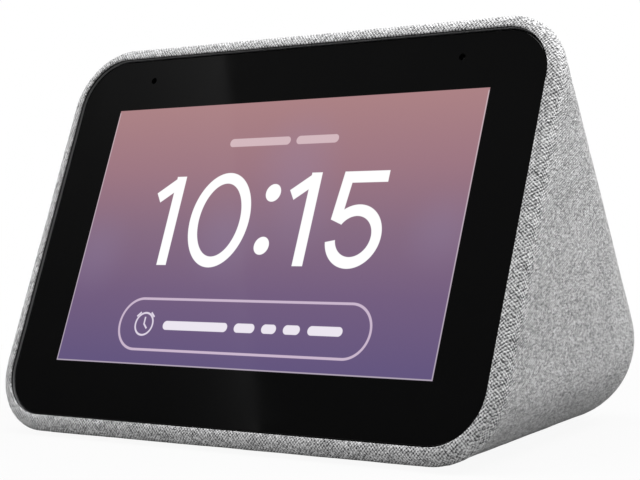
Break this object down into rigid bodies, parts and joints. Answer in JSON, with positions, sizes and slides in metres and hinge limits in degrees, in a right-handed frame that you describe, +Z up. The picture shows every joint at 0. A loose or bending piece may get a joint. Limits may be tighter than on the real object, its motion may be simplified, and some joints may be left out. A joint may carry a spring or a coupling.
{
  "type": "smart display",
  "caption": "Table-top smart display: knitted wedge body, tilted glass touch screen, hidden speaker, volume buttons on top, rear connector panel and mute slider",
  "frame": {"origin": "middle of the footprint, on the table", "axes": "+Z up, screen faces -Y and leans back, +X to the viewer's right as seen from the front"},
  "size_m": [0.1134, 0.0833, 0.0747],
  "materials": {
    "knit_fabric": "light grey melange knit, matt",
    "housing_plastic": "moulded ABS, fine spark texture",
    "panel_plastic": "satin grey ABS",
    "rubber": "soft silicone rubber",
    "cover_glass": "polished touch glass, black printed border",
    "display": "lit screen, rose to violet gradient",
    "backlight": "white moulded light guide in a tray",
    "tape": "black foam tape",
    "sheet_metal": "tin-plated pressed steel",
    "screw_steel": "black zinc steel",
    "circuit_board": "green solder mask",
    "chip_plastic": "moulded epoxy",
    "speaker_plastic": "black moulded plastic",
    "ferrite": "sintered ferrite",
    "paper_cone": "coated pulp",
    "copper": "enamelled copper wire",
    "flat_cable": "polyimide film"
  },
  "bodies": {
    "body": {"antenna_left": "circuit_board", "antenna_right": "circuit_board", "backlight": "backlight", "base_plate": "housing_plastic", "base_screws": "screw_steel", "board_connectors": "chip_plastic", "board_screws": "screw_steel", "bracket_screws": "screw_steel", "chassis": "housing_plastic", "cover_glass": "cover_glass", "dc_jack": "chip_plastic", "display_bracket": "sheet_metal", "display_foam": "tape", "display_ribbon": "flat_cable", "fabric_cover": "knit_fabric", "frame_screws": "screw_steel", "front_frame": "housing_plastic", "glass_tape": "tape", "heat_spreader": "sheet_metal", "lcd_panel": "display", "light_sensor": "chip_plastic", "main_board": "circuit_board", "memory_chips": "chip_plastic", "microphone_board_left": "circuit_board", "microphone_board_right": "circuit_board", "microphone_gasket_left": "rubber", "microphone_gasket_right": "rubber", "microphone_left": "chip_plastic", "microphone_right": "chip_plastic", "mute_switch": "chip_plastic", "port_board": "circuit_board", "port_board_screws": "screw_steel", "port_ribbon": "flat_cable", "power_parts": "chip_plastic", "processor": "chip_plastic", "radiator_surround_left": "rubber", "radiator_surround_right": "rubber", "rear_housing": "housing_plastic", "rear_panel": "panel_plastic", "rubber_foot": "rubber", "shield_can": "sheet_metal", "speaker_baffle": "speaker_plastic", "speaker_basket": "speaker_plastic", "speaker_box": "speaker_plastic", "speaker_magnet": "ferrite", "speaker_screws": "screw_steel", "speaker_surround": "rubber", "speaker_yoke": "sheet_metal", "thermal_pad": "rubber", "usb_shell": "sheet_metal", "usb_tongue": "chip_plastic", "volume_board": "circuit_board", "volume_switches": "chip_plastic"},
    "volume_up": {"volume_up_button": "panel_plastic"},
    "volume_down": {"volume_down_button": "panel_plastic"},
    "mute": {"mute_slider": "panel_plastic"},
    "cone": {"speaker_cone": "paper_cone", "voice_coil": "copper"},
    "radiator_left": {"passive_radiator_left": "paper_cone"},
    "radiator_right": {"passive_radiator_right": "paper_cone"}
  },
  "joints": [
    {"name": "volume_up_press", "type": "slide", "parent": "body", "child": "volume_up", "axis": [0, -0.6979, -0.7162], "range_m": [0, 0.00035], "stiffness_N_per_m": 2500, "springref_m": -0.0002},
    {"name": "volume_down_press", "type": "slide", "parent": "body", "child": "volume_down", "axis": [0, -0.6979, -0.7162], "range_m": [0, 0.00035], "stiffness_N_per_m": 2500, "springref_m": -0.0002},
    {"name": "mute_slide", "type": "slide", "parent": "body", "child": "mute", "axis": [1, 0, 0], "range_m": [0, 0.002]},
    {"name": "cone_travel", "type": "slide", "parent": "body", "child": "cone", "axis": [0, 0.6979, 0.7162], "range_m": [-0.001, 0.001], "stiffness_N_per_m": 1500, "deforming": ["speaker_surround"]},
    {"name": "radiator_left_travel", "type": "slide", "parent": "body", "child": "radiator_left", "axis": [-1, 0, 0], "range_m": [-0.0012, 0.0012], "stiffness_N_per_m": 900, "deforming": ["radiator_surround_left"]},
    {"name": "radiator_right_travel", "type": "slide", "parent": "body", "child": "radiator_right", "axis": [1, 0, 0], "range_m": [-0.0012, 0.0012], "stiffness_N_per_m": 900, "deforming": ["radiator_surround_right"]}
  ]
}
